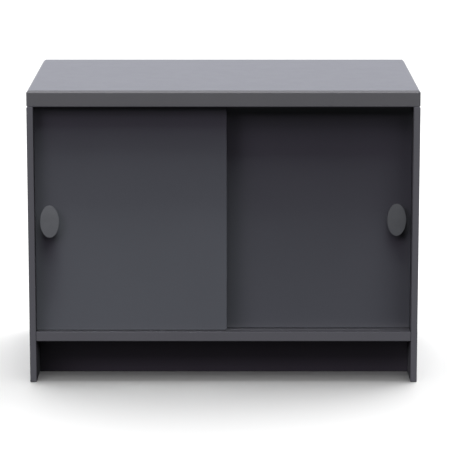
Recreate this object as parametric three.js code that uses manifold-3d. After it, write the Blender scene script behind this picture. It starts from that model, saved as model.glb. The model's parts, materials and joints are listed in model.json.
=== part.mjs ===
import * as THREE from 'three';
import { mergeVertices } from 'three/addons/utils/BufferGeometryUtils.js';
import Module from 'manifold-3d';

// A low cabinet with two doors that slide past each other, in millimetres.
// +Z is up, the front faces -Y, and the origin is on the floor under the middle of the cabinet.

const wasm = await Module();
wasm.setup();

// Carcass boards
const WIDTH = 965;
const DEPTH = 610;
const HEIGHT = 734;
const TOP_THICK = 40;
const TOP_CHAMFER = 5.5;
const TOP_UNDER_CHAMFER = 2.5;
const SIDE_THICK = 16;
const SIDE_TOP_CHAMFER = 2.5;
const BOTTOM_THICK = 24;
const TOE_HEIGHT = 105;
const TOE_RECESS = 110;
const PLINTH_THICK = 16;
const REAR_PLINTH_INSET = 40;
const DIVIDER_THICK = 16;
const BACK_THICK = 6;
const BACK_FIT = 0.5;
const BACK_REBATE_SHARE = 0.5;
const HOUSING_DEPTH = 4;
const HOUSING_FIT = 0.15;
const BOARD_EDGE = 1.2;
const SEAM = 0.1;

// Doors and the grooves that they run in
const DOOR_SETBACK = 17;
const DOOR_THICK = 12;
const DOOR_OVERLAP = 16;
const DOOR_SIDE_GAP = 0.5;
const DOOR_FOOT_GAP = 1;
const DOOR_EDGE = 0.8;
const LIFT_CLEARANCE = 0.5;
const BOTTOM_GROOVE_DEPTH = 4;
const TOP_GROOVE_DEPTH = 12;
const GROOVE_SLACK = 0.4;
const GROOVE_END_ROOM = 3.5;
const RUNNER_FLOAT = 0.3;
const RUNNER_THICK = 5.5;
const RUNNER_LENGTH = 24;
const RUNNER_BURIED = 24;
const RUNNER_INSET = 76;
const RUNNER_FLUSH = 0.2;
const RUNNER_CORNER = 2.5;
const POCKET_FIT = 0.3;

// Oval pulls
const PULL_WIDTH = 46.5;
const PULL_HEIGHT = 81;
const PULL_THICK = 10;
const PULL_INSET = 36.5;
const PULL_BELOW_MIDDLE = 3;
const PULL_CLEARANCE = 2.5;
const PULL_ROUND = 0.8;
const PULL_UNDERCUT = 6;
const PULL_UNDERCUT_RISE = 7;
const PULL_SCREW_SPACING_SHARE = 0.4;
const PULL_SCREW_BITE_SHARE = 0.6;

// Inside
const DIVIDER_GAP = 8.5;
const SHELF_THICK = 16;
const SHELF_HEIGHT = 270;
const SHELF_SIDE_GAP = 1;
const SHELF_FRONT_INSET = 8;
const SHELF_BACK_GAP = 2;
const PIN_SPIGOT_RADIUS = 2.5;
const PIN_HEAD_RADIUS = 3.5;
const PIN_HEAD_LENGTH = 9;
const PIN_HOLE_SHARE = 0.42;
const PIN_SEAT_GAP = 0.2;
const PIN_INSET = 60;
const PIN_PITCH = 64;
const PIN_ROWS = 3;

// Fixings
const SCREW_RADIUS = 2;
const SCREW_HEAD_RADIUS = 4;
const SCREW_HEAD_HEIGHT = 2.6;
const SCREW_BITE_SHARE = 0.65;
const SMALL_SCREW_RADIUS = 1.7;
const SMALL_SCREW_HEAD_RADIUS = 3.4;
const SMALL_SCREW_HEAD_HEIGHT = 2;
const SMALL_SCREW_BITE = 8;
const SCREW_TIP = 1.5;
const BORE_FIT = 0.2;
const BORE_END_ROOM = 0.5;
const HEAD_ROOM = 0.1;
const DOWEL_RADIUS = 4;
const DOWEL_LENGTH = 30;
const DOWEL_CHAMFER = 1;
const DOWEL_INSET = 80;
const DOWEL_BITE_SHARE = 0.65;
const BRACKET_LEG = 25;
const BRACKET_WIDTH = 30;
const BRACKET_THICK = 2;
const BRACKET_INSET = 60;
const BACK_SCREW_END_SHARE = 0.06;
const DIVIDER_SCREW_END_SHARE = 0.3;

// How far a cutting shape runs past the face that it opens
const OVERRUN = 3;

// Facets: rounds of fixings, half an oval, a groove's end, a pull's rounded rim
const ROUND_SIDES = 8;
const OVAL_STEPS = 22;
const CORNER_STEPS = 4;
const RIM_STEPS = 3;

// Planes of the carcass
const outerX = WIDTH / 2;
const innerX = outerX - SIDE_THICK;
const frontY = -DEPTH / 2;
const backY = DEPTH / 2;
const backPanelY = backY - BACK_THICK;
const underTopZ = HEIGHT - TOP_THICK;
const floorZ = TOE_HEIGHT + BOTTOM_THICK;
const backRebate = BACK_REBATE_SHARE * SIDE_THICK;
const toeKickY = frontY + TOE_RECESS;
const rearPlinthY = backY - REAR_PLINTH_INSET - PLINTH_THICK;

// Planes of the doors. A door's bottom runners stay in their groove until the door is lifted.
const passingGap = PULL_THICK + PULL_CLEARANCE;
const runnerFootZ = floorZ - BOTTOM_GROOVE_DEPTH + RUNNER_FLOAT;
const doorHeadGap = floorZ - runnerFootZ + LIFT_CLEARANCE;
const doorBottomZ = floorZ + DOOR_FOOT_GAP;
const doorTopZ = underTopZ - doorHeadGap;
const doorMiddleZ = (doorBottomZ + doorTopZ) / 2;
const guideTipZ = underTopZ + TOP_GROOVE_DEPTH - doorHeadGap - LIFT_CLEARANCE;
const doorWidth = innerX - DOOR_SIDE_GAP + DOOR_OVERLAP / 2;
const frontDoorY = frontY + DOOR_SETBACK;
const rearDoorY = frontDoorY + DOOR_THICK + passingGap;
const grooveEndX = innerX - DOOR_SIDE_GAP - RUNNER_INSET + GROOVE_END_ROOM;
const grooveWidth = RUNNER_THICK + 2 * GROOVE_SLACK;

// Planes of the inside
const dividerX = DIVIDER_THICK / 2;
const dividerY = rearDoorY + DOOR_THICK + DIVIDER_GAP;
const shelfY = dividerY + SHELF_FRONT_INSET;
const shelfZ = floorZ + SHELF_HEIGHT;
const pinHoleDepth = PIN_HOLE_SHARE * Math.min(SIDE_THICK, DIVIDER_THICK);
const pinHeightZ = shelfZ - PIN_HEAD_RADIUS - PIN_SEAT_GAP;
const pinPlacesY = { front: dividerY + PIN_INSET, rear: backPanelY - PIN_INSET };
const bracketPlacesY = { front: dividerY + BRACKET_INSET, rear: backPanelY - BRACKET_INSET };
const dowelPlacesY = { front: frontY + DOWEL_INSET, rear: backPanelY - DOWEL_INSET };
const bracketScrewLength = BRACKET_THICK + SCREW_BITE_SHARE * Math.min(SIDE_THICK, TOP_THICK);
const backScrewLength = BACK_THICK + SMALL_SCREW_BITE;

// Directions and hands
const RIGHT = new THREE.Vector3(1, 0, 0);
const LEFT = new THREE.Vector3(-1, 0, 0);
const BACKWARDS = new THREE.Vector3(0, 1, 0);
const FORWARDS = new THREE.Vector3(0, -1, 0);
const UP = new THREE.Vector3(0, 0, 1);
const hands = { left: -1, right: 1 };
const outwards = (hand) => (hand > 0 ? RIGHT : LEFT);
const inwards = (hand) => (hand > 0 ? LEFT : RIGHT);

// An outline drawn in (Y, Z), (Z, X) or (X, Y) is carried along X, Y or Z by one of these turns.
const carry = {
  x: new THREE.Matrix4().makeBasis(BACKWARDS, UP, RIGHT),
  y: new THREE.Matrix4().makeBasis(UP, RIGHT, BACKWARDS),
  z: new THREE.Matrix4().makeBasis(RIGHT, BACKWARDS, UP),
};

// Finishes

function finish(color, roughness, metalness = 0) {
  return new THREE.MeshStandardMaterial({ color, roughness, metalness });
}

const charcoalBoard = () => finish(0x53525a, 0.6);
const charcoalPull = () => finish(0x55555c, 0.55);
const darkNylon = () => finish(0x202124, 0.45);
const zincSteel = () => finish(0x9a9da0, 0.35, 0.9);
const beech = () => finish(0xb9925f, 0.7);

// Solids and meshes

// A closed geometry becomes a solid that can be cut and joined.
function solidOf(geometry) {
  const bare = geometry.clone();
  bare.deleteAttribute('normal');
  bare.deleteAttribute('uv');
  const merged = mergeVertices(bare);
  const vertProperties = new Float32Array(merged.attributes.position.array);
  const triVerts = new Uint32Array(merged.index.array);
  return new wasm.Manifold(new wasm.Mesh({ numProp: 3, vertProperties, triVerts }));
}

// A solid becomes a named mesh.
function meshOf(name, solid, material) {
  const { vertProperties, triVerts } = solid.getMesh();
  const geometry = new THREE.BufferGeometry();
  geometry.setAttribute('position', new THREE.BufferAttribute(new Float32Array(vertProperties), 3));
  geometry.setIndex(new THREE.BufferAttribute(new Uint32Array(triVerts), 1));
  geometry.computeVertexNormals();
  const mesh = new THREE.Mesh(geometry, material);
  mesh.name = name;
  return mesh;
}

function cut(solid, cutters) {
  return cutters.reduce((whole, cutter) => whole.subtract(cutter), solid);
}

// A rectangle between two corners, with its corners cut off by the same small amount.
function rectangle([u0, v0], [u1, v1], corner) {
  return new THREE.Shape([
    new THREE.Vector2(u0 + corner, v0),
    new THREE.Vector2(u1 - corner, v0),
    new THREE.Vector2(u1, v0 + corner),
    new THREE.Vector2(u1, v1 - corner),
    new THREE.Vector2(u1 - corner, v1),
    new THREE.Vector2(u0 + corner, v1),
    new THREE.Vector2(u0, v1 - corner),
    new THREE.Vector2(u0, v0 + corner),
  ]);
}

// A rectangle with round corners.
function softRectangle([u0, v0], [u1, v1], radius) {
  const turn = Math.PI / 2;
  const shape = new THREE.Shape();
  shape.absarc(u1 - radius, v1 - radius, radius, 0, turn, false);
  shape.absarc(u0 + radius, v1 - radius, radius, turn, 2 * turn, false);
  shape.absarc(u0 + radius, v0 + radius, radius, 2 * turn, 3 * turn, false);
  shape.absarc(u1 - radius, v0 + radius, radius, 3 * turn, 4 * turn, false);
  return shape;
}

// Carries an outline along an axis. The edge says how far both ends draw in, over what height and
// in how many steps, and the outline is the drawn-in one.
function extruded(axis, outline, from, to, edge = { inset: 0, rise: 0, steps: 1 }, curveSegments = CORNER_STEPS) {
  const geometry = new THREE.ExtrudeGeometry(outline, {
    depth: to - from - 2 * edge.rise,
    bevelEnabled: edge.rise > 0,
    bevelThickness: edge.rise,
    bevelSize: edge.inset,
    bevelSegments: edge.steps,
    curveSegments,
  });
  geometry.translate(0, 0, from + edge.rise);
  geometry.applyMatrix4(carry[axis]);
  return solidOf(geometry);
}

// A board with eased edges. Its thin way is the axis, and lo and hi are corners across it.
function board(axis, from, to, lo, hi, ease = BOARD_EDGE) {
  const drawnIn = rectangle([lo[0] + ease, lo[1] + ease], [hi[0] - ease, hi[1] - ease], ease);
  return extruded(axis, drawnIn, from, to, { inset: ease, rise: ease, steps: 1 });
}

// A body whose two ends have different edges: what two bodies, each with even edges, share.
function twoEdged(axis, drawnIn, from, to, lowEdge, highEdge, curveSegments) {
  const spare = lowEdge.rise + highEdge.rise;
  const low = extruded(axis, drawnIn(lowEdge.inset), from, to + spare, lowEdge, curveSegments);
  const high = extruded(axis, drawnIn(highEdge.inset), from - spare, to, highEdge, curveSegments);
  return low.intersect(high);
}

// A wedge along an axis that takes off the edge where two faces meet. The meeting point is given across
// the axis, with the way out of the board in both directions.
function wedge(axis, [u, v], [outU, outV], size, reach) {
  const leg = size + 2 * OVERRUN;
  const tipU = u + outU * OVERRUN;
  const tipV = v + outV * OVERRUN;
  const outline = new THREE.Shape([
    new THREE.Vector2(tipU, tipV),
    new THREE.Vector2(tipU - outU * leg, tipV),
    new THREE.Vector2(tipU, tipV - outV * leg),
  ]);
  return extruded(axis, outline, -reach - OVERRUN, reach + OVERRUN);
}

function block([x0, y0, z0], [x1, y1, z1]) {
  const geometry = new THREE.BoxGeometry(x1 - x0, y1 - y0, z1 - z0);
  geometry.translate((x0 + x1) / 2, (y0 + y1) / 2, (z0 + z1) / 2);
  return solidOf(geometry);
}

// A body turned on a lathe from points of (radius, distance), set at a place with its distance
// measured along a direction.
function turned(profile, { place, direction }) {
  const points = profile.map(([radius, distance]) => new THREE.Vector2(radius, distance));
  const geometry = new THREE.LatheGeometry(points, ROUND_SIDES);
  geometry.applyQuaternion(new THREE.Quaternion().setFromUnitVectors(BACKWARDS, direction));
  geometry.translate(...place);
  return solidOf(geometry);
}

// Fixings. Each has a name, a place on the face that it enters and the direction in which it goes
// in. The same record makes the fixing's own solid and the holes that it needs in its neighbours.

const screw = { radius: SCREW_RADIUS, headRadius: SCREW_HEAD_RADIUS, headHeight: SCREW_HEAD_HEIGHT };
const smallScrew = {
  radius: SMALL_SCREW_RADIUS,
  headRadius: SMALL_SCREW_HEAD_RADIUS,
  headHeight: SMALL_SCREW_HEAD_HEIGHT,
};

// A straight hole for a screw or a pin.
function bore(spot, radius, depth) {
  const wide = radius + BORE_FIT;
  const profile = [[0, -OVERRUN], [wide, -OVERRUN], [wide, depth + BORE_END_ROOM], [0, depth + BORE_END_ROOM]];
  return turned(profile, spot);
}

// A screw with a rounded head that rests on the face.
function panScrew(spot, { radius, headRadius, headHeight }, length) {
  return turned([
    [0, -SEAM - headHeight],
    [headRadius - headHeight / 2, -SEAM - headHeight],
    [headRadius, -SEAM - headHeight / 2],
    [headRadius, -SEAM],
    [radius, -SEAM],
    [radius, length - SCREW_TIP],
    [0, length],
  ], spot);
}

// A screw with a cone head that lies flush in the face, and its hole.
function flushScrew(spot, { radius, headRadius, headHeight }, length) {
  return turned([
    [0, HEAD_ROOM],
    [headRadius, HEAD_ROOM],
    [radius, headHeight + HEAD_ROOM],
    [radius, length - SCREW_TIP],
    [0, length],
  ], spot);
}

function flushBore(spot, { radius, headRadius, headHeight }, length) {
  return turned([
    [0, -OVERRUN],
    [headRadius + BORE_FIT, -OVERRUN],
    [headRadius + BORE_FIT, HEAD_ROOM],
    [radius + BORE_FIT, headHeight + HEAD_ROOM],
    [radius + BORE_FIT, length + BORE_END_ROOM],
    [0, length + BORE_END_ROOM],
  ], spot);
}

// Screws that hold the back panel to the sides and to the divider.
function backScrewSpots() {
  const height = (share) => TOE_HEIGHT + share * (underTopZ - TOE_HEIGHT);
  const sideLevels = { lower: BACK_SCREW_END_SHARE, middle: 1 / 2, upper: 1 - BACK_SCREW_END_SHARE };
  const dividerLevels = { lower: DIVIDER_SCREW_END_SHARE, upper: 1 - DIVIDER_SCREW_END_SHARE };
  const spots = [];
  for (const [word, hand] of Object.entries(hands)) {
    for (const [level, share] of Object.entries(sideLevels)) {
      const place = [hand * (innerX + backRebate / 2), backY, height(share)];
      spots.push({ name: `back_panel_screw_${word}_${level}`, place, direction: FORWARDS });
    }
  }
  for (const [level, share] of Object.entries(dividerLevels)) {
    spots.push({ name: `back_panel_screw_centre_${level}`, place: [0, backY, height(share)], direction: FORWARDS });
  }
  return spots;
}

// Steel angles that hold the top down onto the sides, each with one screw a leg.
function bracketSpots() {
  const spots = [];
  for (const [word, hand] of Object.entries(hands)) {
    for (const [end, y] of Object.entries(bracketPlacesY)) {
      const middleOfLeg = (BRACKET_THICK + BRACKET_LEG) / 2;
      const name = `${word}_${end}_top_bracket`;
      const inSide = {
        name: `${name}_side_screw`,
        place: [hand * (innerX - SEAM - BRACKET_THICK), y, underTopZ - middleOfLeg],
        direction: outwards(hand),
      };
      const inTop = {
        name: `${name}_top_screw`,
        place: [hand * (innerX - middleOfLeg), y, underTopZ - SEAM - BRACKET_THICK],
        direction: UP,
      };
      spots.push({ name, hand, y, screws: [inSide, inTop] });
    }
  }
  return spots;
}

// Dowels that stand partly in a side and partly in the end of the bottom panel.
function dowelSpots() {
  const spots = [];
  for (const [word, hand] of Object.entries(hands)) {
    for (const [end, y] of Object.entries(dowelPlacesY)) {
      const x = innerX + DOWEL_BITE_SHARE * SIDE_THICK - DOWEL_LENGTH;
      const place = [hand * x, y, TOE_HEIGHT + BOTTOM_THICK / 2];
      spots.push({ name: `${word}_${end}_dowel`, place, direction: outwards(hand) });
    }
  }
  return spots;
}

// Pins under the two ends of each shelf, in the outer side and in the divider.
function shelfPinSpots() {
  const spots = [];
  for (const [word, hand] of Object.entries(hands)) {
    for (const [end, y] of Object.entries(pinPlacesY)) {
      const outer = { place: [hand * innerX, y, pinHeightZ], direction: outwards(hand) };
      const inner = { place: [hand * dividerX, y, pinHeightZ], direction: inwards(hand) };
      spots.push({ name: `${word}_shelf_pin_outer_${end}`, ...outer });
      spots.push({ name: `${word}_shelf_pin_inner_${end}`, ...inner });
    }
  }
  return spots;
}

const backScrews = backScrewSpots();
const brackets = bracketSpots();
const bracketScrews = brackets.flatMap((spot) => spot.screws);
const dowels = dowelSpots();
const shelfPins = shelfPinSpots();

const backScrewBores = () => backScrews.map((spot) => flushBore(spot, smallScrew, backScrewLength));
const bracketScrewBores = () => bracketScrews.map((spot) => bore(spot, screw.radius, bracketScrewLength));

function dowel(spot) {
  return turned([
    [0, 0],
    [DOWEL_RADIUS - DOWEL_CHAMFER, 0],
    [DOWEL_RADIUS, DOWEL_CHAMFER],
    [DOWEL_RADIUS, DOWEL_LENGTH - DOWEL_CHAMFER],
    [DOWEL_RADIUS - DOWEL_CHAMFER, DOWEL_LENGTH],
    [0, DOWEL_LENGTH],
  ], spot);
}

function dowelBores() {
  const wide = DOWEL_RADIUS + BORE_FIT;
  const profile = [
    [0, -BORE_END_ROOM],
    [wide, -BORE_END_ROOM],
    [wide, DOWEL_LENGTH + BORE_END_ROOM],
    [0, DOWEL_LENGTH + BORE_END_ROOM],
  ];
  return dowels.map((spot) => turned(profile, spot));
}

function shelfPin(spot) {
  const spigot = pinHoleDepth - BORE_END_ROOM;
  return turned([
    [0, -PIN_HEAD_LENGTH],
    [PIN_HEAD_RADIUS, -PIN_HEAD_LENGTH],
    [PIN_HEAD_RADIUS, -SEAM],
    [PIN_SPIGOT_RADIUS, -SEAM],
    [PIN_SPIGOT_RADIUS, spigot],
    [0, spigot],
  ], spot);
}

// A column of holes through the height that a shelf can be set at, at each pin's place.
function pinBores() {
  return shelfPins.flatMap(({ place: [x, y, z], direction }) => (
    Array.from({ length: PIN_ROWS }, (_, row) => {
      const height = z + (row - (PIN_ROWS - 1) / 2) * PIN_PITCH;
      return bore({ place: [x, y, height], direction }, PIN_SPIGOT_RADIUS, pinHoleDepth - BORE_END_ROOM);
    })
  ));
}

// Boards

// Stopped grooves with round ends, in the plan of the doors' runners, between two heights.
function grooves(z0, z1) {
  return [frontDoorY, rearDoorY].map((doorY) => {
    const y1 = doorY + DOOR_THICK - RUNNER_FLUSH + GROOVE_SLACK;
    const outline = softRectangle([-grooveEndX, y1 - grooveWidth], [grooveEndX, y1], grooveWidth / 2);
    return extruded('z', outline, z0, z1);
  });
}

// The shallow housing for the divider, in the bottom panel and in the top.
function dividerHousing() {
  const x = dividerX + HOUSING_FIT;
  const lowest = floorZ - HOUSING_DEPTH;
  const highest = underTopZ + HOUSING_DEPTH;
  return block([-x, dividerY - HOUSING_FIT, lowest], [x, backPanelY + OVERRUN, highest]);
}

function plinthHousings() {
  return [toeKickY, rearPlinthY].map((y) => block(
    [-outerX, y - HOUSING_FIT, TOE_HEIGHT - OVERRUN],
    [outerX, y + PLINTH_THICK + HOUSING_FIT, TOE_HEIGHT + HOUSING_DEPTH],
  ));
}

// The rebate for the back panel, round the inside of the sides and the top.
function backRebateCut() {
  const x = innerX + backRebate;
  return block([-x, backPanelY, TOE_HEIGHT], [x, backY + OVERRUN, underTopZ + backRebate]);
}

function topPanel() {
  const drawnIn = (inset) => rectangle(
    [-outerX + inset, frontY + inset],
    [outerX - inset, backY - inset],
    BOARD_EDGE,
  );
  const lowEdge = { inset: TOP_UNDER_CHAMFER, rise: TOP_UNDER_CHAMFER, steps: 1 };
  const highEdge = { inset: TOP_CHAMFER, rise: TOP_CHAMFER, steps: 1 };
  return cut(twoEdged('z', drawnIn, underTopZ, HEIGHT, lowEdge, highEdge), [
    backRebateCut(),
    dividerHousing(),
    ...grooves(underTopZ - OVERRUN, underTopZ + TOP_GROOVE_DEPTH),
    ...bracketScrewBores(),
  ]);
}

function side(hand) {
  const [from, to] = hand > 0 ? [innerX, outerX] : [-outerX, -innerX];
  const headZ = underTopZ - SEAM;
  return cut(board('x', from, to, [frontY, 0], [backY, headZ]), [
    wedge('y', [headZ, hand * outerX], [1, hand], SIDE_TOP_CHAMFER, backY),
    wedge('x', [frontY, headZ], [-1, 1], SIDE_TOP_CHAMFER, outerX),
    backRebateCut(),
    ...pinBores(),
    ...dowelBores(),
    ...bracketScrewBores(),
    ...backScrewBores(),
  ]);
}

function bottomPanel() {
  const endX = innerX - SEAM;
  return cut(board('z', TOE_HEIGHT, floorZ, [-endX, frontY], [endX, backPanelY]), [
    dividerHousing(),
    ...plinthHousings(),
    ...grooves(floorZ - BOTTOM_GROOVE_DEPTH, floorZ + OVERRUN),
    ...dowelBores(),
  ]);
}

function backPanel() {
  const reachX = innerX + backRebate - BACK_FIT;
  const reachZ = underTopZ + backRebate - BACK_FIT;
  const panel = board('y', backPanelY + SEAM, backY, [TOE_HEIGHT + SEAM, -reachX], [reachZ, reachX]);
  return cut(panel, backScrewBores());
}

function plinth(y) {
  const endX = innerX - SEAM;
  return board('y', y, y + PLINTH_THICK, [0, -endX], [TOE_HEIGHT + HOUSING_DEPTH - SEAM, endX]);
}

function divider() {
  const low = [dividerY, floorZ - HOUSING_DEPTH + SEAM];
  const high = [backPanelY, underTopZ + HOUSING_DEPTH - SEAM];
  return cut(board('x', -dividerX, dividerX, low, high), [...pinBores(), ...backScrewBores()]);
}

function shelf(hand) {
  const [x0, x1] = hand > 0 ? [dividerX, innerX] : [-innerX, -dividerX];
  const low = [x0 + SHELF_SIDE_GAP, shelfY];
  const high = [x1 - SHELF_SIDE_GAP, backPanelY - SHELF_BACK_GAP];
  return board('z', shelfZ, shelfZ + SHELF_THICK, low, high);
}

function bracket({ hand, y }) {
  const x = (distance) => hand * (innerX - SEAM - distance);
  const z = (distance) => underTopZ - SEAM - distance;
  const points = [
    [0, 0],
    [BRACKET_LEG, 0],
    [BRACKET_LEG, BRACKET_THICK],
    [BRACKET_THICK, BRACKET_THICK],
    [BRACKET_THICK, BRACKET_LEG],
    [0, BRACKET_LEG],
  ];
  const outline = new THREE.Shape(points.map(([u, v]) => new THREE.Vector2(z(v), x(u))));
  return cut(extruded('y', outline, y - BRACKET_WIDTH / 2, y + BRACKET_WIDTH / 2), bracketScrewBores());
}

// One door and what it carries. The hand is the side of the cabinet where the shut door stands.
function doorSet(name, hand, doorY) {
  const outerEdgeX = hand * (innerX - DOOR_SIDE_GAP);
  const innerEdgeX = outerEdgeX - hand * doorWidth;
  const leftX = Math.min(outerEdgeX, innerEdgeX);
  const rightX = Math.max(outerEdgeX, innerEdgeX);
  const doorBackY = doorY + DOOR_THICK;
  const plateBackY = doorBackY - RUNNER_FLUSH;
  const plateFaceY = plateBackY - RUNNER_THICK;
  const pullX = outerEdgeX - hand * PULL_INSET;
  const pullZ = doorMiddleZ - PULL_BELOW_MIDDLE;
  const pullScrewZ = PULL_SCREW_SPACING_SHARE * PULL_HEIGHT / 2;
  const pullScrewLength = DOOR_THICK + PULL_SCREW_BITE_SHARE * PULL_THICK;

  // Nylon plates let into the back of the door, which reach past its edges into the grooves.
  const plates = [];
  for (const [end, x] of [['left', leftX + RUNNER_INSET], ['right', rightX - RUNNER_INSET - RUNNER_LENGTH]]) {
    const runner = { z0: runnerFootZ, z1: doorBottomZ + RUNNER_BURIED };
    const guide = { z0: doorTopZ - RUNNER_BURIED, z1: guideTipZ };
    plates.push({ name: `${name}_door_${end}_runner`, x, ...runner });
    plates.push({ name: `${name}_door_${end}_guide`, x, ...guide });
  }

  function plate({ x, z0, z1 }, grow, faceY, backFaceY) {
    const low = [z0 - grow, x - grow];
    const high = [z1 + grow, x + RUNNER_LENGTH + grow];
    return extruded('y', softRectangle(low, high, RUNNER_CORNER + grow), faceY, backFaceY);
  }

  const pockets = plates.map((spot) => plate(spot, POCKET_FIT, plateFaceY - SEAM, doorBackY + OVERRUN));
  const pullScrews = Object.entries({ lower: -pullScrewZ, upper: pullScrewZ }).map(([level, z]) => ({
    name: `${name}_pull_screw_${level}`,
    place: [pullX, doorBackY, pullZ + z],
    direction: FORWARDS,
  }));
  const pullScrewBores = pullScrews.map((spot) => flushBore(spot, screw, pullScrewLength));

  // An oval knob with a rounded face, cut back behind its rim to give the fingers a hold.
  function pull() {
    const drawnIn = (inset) => new THREE.Shape().absellipse(
      pullZ,
      pullX,
      PULL_HEIGHT / 2 - inset,
      PULL_WIDTH / 2 - inset,
      0,
      2 * Math.PI,
    );
    const rim = { inset: PULL_ROUND, rise: PULL_ROUND, steps: RIM_STEPS };
    const neck = { inset: PULL_UNDERCUT, rise: PULL_UNDERCUT_RISE, steps: 1 };
    return twoEdged('y', drawnIn, doorY - PULL_THICK, doorY - SEAM, rim, neck, OVAL_STEPS);
  }

  const panel = board('y', doorY, doorBackY, [doorBottomZ, leftX], [doorTopZ, rightX], DOOR_EDGE);
  return [
    meshOf(`${name}_door`, cut(panel, [...pockets, ...pullScrewBores]), charcoalBoard()),
    meshOf(`${name}_pull`, cut(pull(), pullScrewBores), charcoalPull()),
    ...plates.map((spot) => meshOf(spot.name, plate(spot, 0, plateFaceY, plateBackY), darkNylon())),
    ...pullScrews.map((spot) => meshOf(spot.name, flushScrew(spot, screw, pullScrewLength), zincSteel())),
  ];
}

function carcass() {
  const boards = [
    meshOf('top_panel', topPanel(), charcoalBoard()),
    meshOf('bottom_panel', bottomPanel(), charcoalBoard()),
    meshOf('back_panel', backPanel(), charcoalBoard()),
    meshOf('toe_kick', plinth(toeKickY), charcoalBoard()),
    meshOf('rear_plinth', plinth(rearPlinthY), charcoalBoard()),
    meshOf('centre_divider', divider(), charcoalBoard()),
  ];
  for (const [word, hand] of Object.entries(hands)) {
    boards.push(meshOf(`${word}_side`, side(hand), charcoalBoard()));
    boards.push(meshOf(`${word}_shelf`, shelf(hand), charcoalBoard()));
  }
  return [
    ...boards,
    ...shelfPins.map((spot) => meshOf(spot.name, shelfPin(spot), zincSteel())),
    ...dowels.map((spot) => meshOf(spot.name, dowel(spot), beech())),
    ...brackets.map((spot) => meshOf(spot.name, bracket(spot), zincSteel())),
    ...bracketScrews.map((spot) => meshOf(spot.name, panScrew(spot, screw, bracketScrewLength), zincSteel())),
    ...backScrews.map((spot) => meshOf(spot.name, flushScrew(spot, smallScrew, backScrewLength), zincSteel())),
  ];
}

const cabinet = new THREE.Group();
cabinet.add(...carcass());
cabinet.add(...doorSet('front', hands.left, frontDoorY));
cabinet.add(...doorSet('rear', hands.right, rearDoorY));

export default cabinet;
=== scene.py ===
# %% [markdown]
# # A charcoal cabinet with two sliding doors
#
# The construction arrives finished: every board, screw and pull has its true size and place in the frame
# that the first cell loads. This lesson gives that frame its looks. It stands the camera where the
# photograph was taken from, lights the cabinet, works out the small rounded pieces as surfaces of two
# parameters, and mixes one finish for each material that the cabinet is made of.

# %% Load the frame
import json
import math

import bpy
import numpy as np
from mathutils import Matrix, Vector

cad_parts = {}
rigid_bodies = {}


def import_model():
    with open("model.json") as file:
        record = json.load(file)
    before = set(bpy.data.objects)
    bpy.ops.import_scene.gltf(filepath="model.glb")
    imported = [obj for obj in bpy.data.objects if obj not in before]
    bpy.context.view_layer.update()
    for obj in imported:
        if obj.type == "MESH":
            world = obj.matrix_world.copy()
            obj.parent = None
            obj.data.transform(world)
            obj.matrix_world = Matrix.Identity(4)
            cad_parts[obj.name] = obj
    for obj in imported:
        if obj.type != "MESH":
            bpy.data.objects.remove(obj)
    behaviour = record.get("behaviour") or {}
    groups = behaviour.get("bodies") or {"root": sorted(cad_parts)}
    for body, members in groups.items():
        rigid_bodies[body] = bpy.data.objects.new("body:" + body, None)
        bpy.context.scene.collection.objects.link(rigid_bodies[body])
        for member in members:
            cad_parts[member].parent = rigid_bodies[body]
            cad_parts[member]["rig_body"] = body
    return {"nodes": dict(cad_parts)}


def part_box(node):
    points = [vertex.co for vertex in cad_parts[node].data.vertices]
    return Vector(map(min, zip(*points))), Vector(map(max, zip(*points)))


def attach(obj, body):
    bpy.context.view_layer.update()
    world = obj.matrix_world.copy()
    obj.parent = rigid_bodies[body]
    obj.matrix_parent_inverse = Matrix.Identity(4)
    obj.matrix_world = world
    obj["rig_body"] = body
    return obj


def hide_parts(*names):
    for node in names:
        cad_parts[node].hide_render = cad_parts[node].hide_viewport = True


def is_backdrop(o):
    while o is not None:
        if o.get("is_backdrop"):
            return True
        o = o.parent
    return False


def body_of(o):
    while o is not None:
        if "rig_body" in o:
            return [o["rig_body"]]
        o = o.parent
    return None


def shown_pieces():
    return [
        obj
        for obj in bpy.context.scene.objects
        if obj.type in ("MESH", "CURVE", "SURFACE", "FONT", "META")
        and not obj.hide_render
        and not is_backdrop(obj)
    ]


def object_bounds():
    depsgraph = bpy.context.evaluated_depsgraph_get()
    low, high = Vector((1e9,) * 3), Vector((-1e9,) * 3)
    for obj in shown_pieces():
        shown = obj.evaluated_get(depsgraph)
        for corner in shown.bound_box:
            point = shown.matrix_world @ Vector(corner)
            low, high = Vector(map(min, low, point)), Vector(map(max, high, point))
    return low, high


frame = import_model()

CAD_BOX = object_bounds()
LOW, HIGH = (np.array(corner) for corner in CAD_BOX)
MM = 0.001
print("cabinet", np.round((HIGH - LOW) / MM), "mm, width, depth and height")

# %% [markdown]
# ## Camera
#
# The photograph was taken with a long lens from well in front and above: the upright edges lean together
# only a little towards the floor. The focal length, the tilt and the distance below were worked out from
# the perspective of the cabinet's edges. The lens is shifted by a few pixels because the photograph was
# cropped a little off its axis.

# %% Stand the camera in front of the cabinet
PHOTO_WIDTH = 449
FOCAL_PIXELS = 2553.4
AXIS_PIXELS_FROM_MIDDLE = 3.4
SENSOR_WIDTH = 36
SEES_TO = 200
CAMERA_PLACE = (0.011, -6.491, 1.598)
CAMERA_TILT = 10.949

camera_data = bpy.data.cameras.new("camera")
camera_data.sensor_width = SENSOR_WIDTH
camera_data.lens = SENSOR_WIDTH * FOCAL_PIXELS / PHOTO_WIDTH
camera_data.shift_x = -AXIS_PIXELS_FROM_MIDDLE / PHOTO_WIDTH
camera_data.clip_end = SEES_TO
camera = bpy.data.objects.new("camera", camera_data)
camera.location = CAMERA_PLACE
camera.rotation_euler = (math.radians(90 - CAMERA_TILT), 0, 0)
bpy.context.scene.collection.objects.link(camera)
bpy.context.scene.camera = camera
bpy.context.scene.view_settings.view_transform = "Standard"
print("lens", round(camera_data.lens, 1), "mm")

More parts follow.
